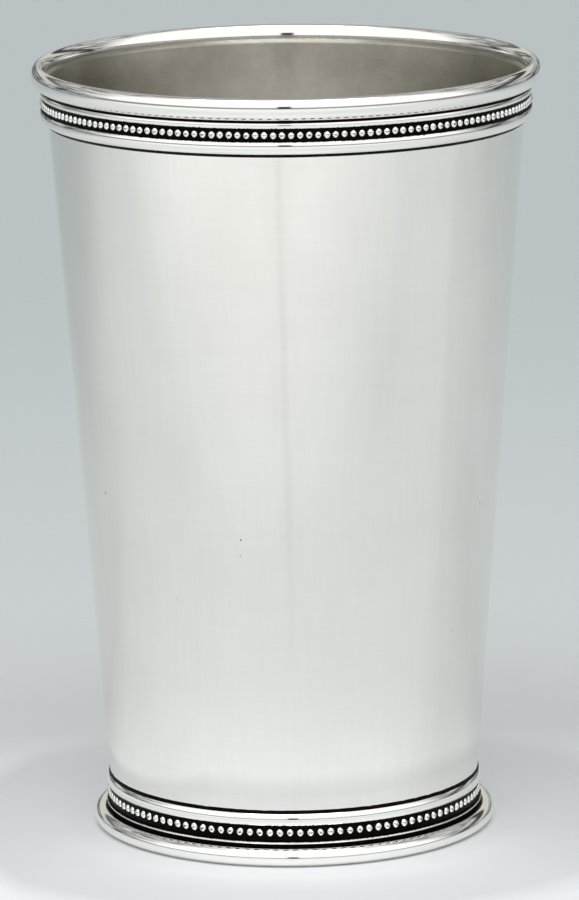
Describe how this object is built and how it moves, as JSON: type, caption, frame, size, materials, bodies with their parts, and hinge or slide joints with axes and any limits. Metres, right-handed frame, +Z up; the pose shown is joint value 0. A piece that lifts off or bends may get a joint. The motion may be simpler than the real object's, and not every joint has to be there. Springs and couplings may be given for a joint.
{
  "type": "julep cup",
  "caption": "Straight-tapered silver drinking cup with a let-in floor, an oval lip wire and beaded border strips with half-round mouldings at the rim and the foot.",
  "frame": {"origin": "on the ground under the middle of the foot", "axes": "+Z up through the mouth, along the cup's axis; +X to the right in the picture's view and +Y away from the camera"},
  "size_m": [0.085, 0.085, 0.13],
  "materials": {
    "polished_silver": "polished silver with fine wiping marks",
    "satin_silver": "satin silver, spun inside face and bare underside",
    "dark_silver": "oxidised silver left dark in the joints and channels"
  },
  "bodies": {
    "root": {"cup_wall": "polished_silver", "cup_floor": "satin_silver", "floor_solder": "satin_silver", "rim_lip": "polished_silver", "rim_lip_solder": "dark_silver", "rim_bead_band": "polished_silver", "rim_band_solder": "dark_silver", "foot_bead_band": "polished_silver", "foot_band_solder": "dark_silver", "foot_ring": "polished_silver", "foot_ring_solder": "dark_silver"}
  },
  "joints": []
}
